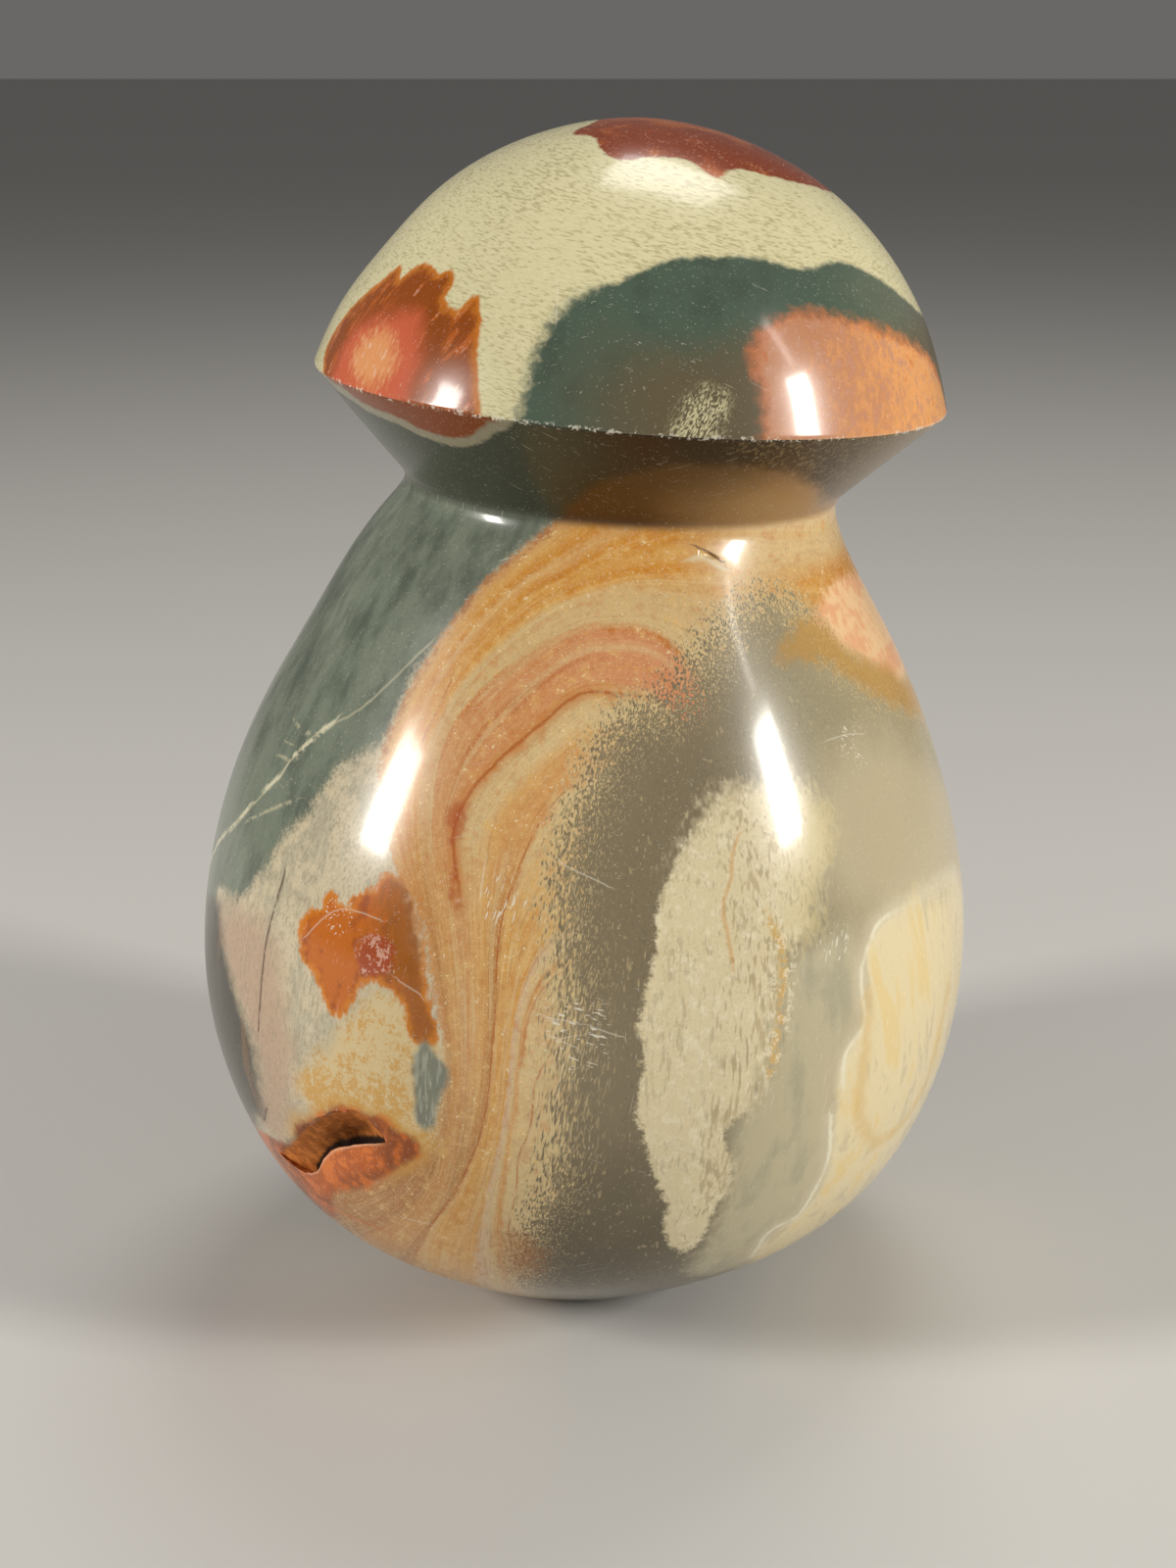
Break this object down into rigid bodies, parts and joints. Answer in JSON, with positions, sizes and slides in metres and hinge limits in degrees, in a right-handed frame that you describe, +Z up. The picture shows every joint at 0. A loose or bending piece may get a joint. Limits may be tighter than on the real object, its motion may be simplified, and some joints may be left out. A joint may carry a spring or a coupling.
{
  "type": "polychrome jasper mushroom carving",
  "caption": "Polished mushroom carved from one piece of polychrome jasper, with a pear-shaped stem, a cut-in neck and a domed cap, standing on a small flat foot",
  "frame": {"origin": "on the surface that the stone stands on, under the middle of its stem", "axes": "+Z up from the foot to the crown of the cap, -Y is the front with the cavity low on its left, +X is the right, which the cap leans towards"},
  "size_m": [0.0864, 0.0864, 0.1294],
  "materials": {
    "polished_jasper": "glossy polish on cream, grey-green, taupe, orange and rust-red jasper with fine scratches"
  },
  "bodies": {
    "root": {"mushroom_carving": "polished_jasper"}
  },
  "joints": []
}
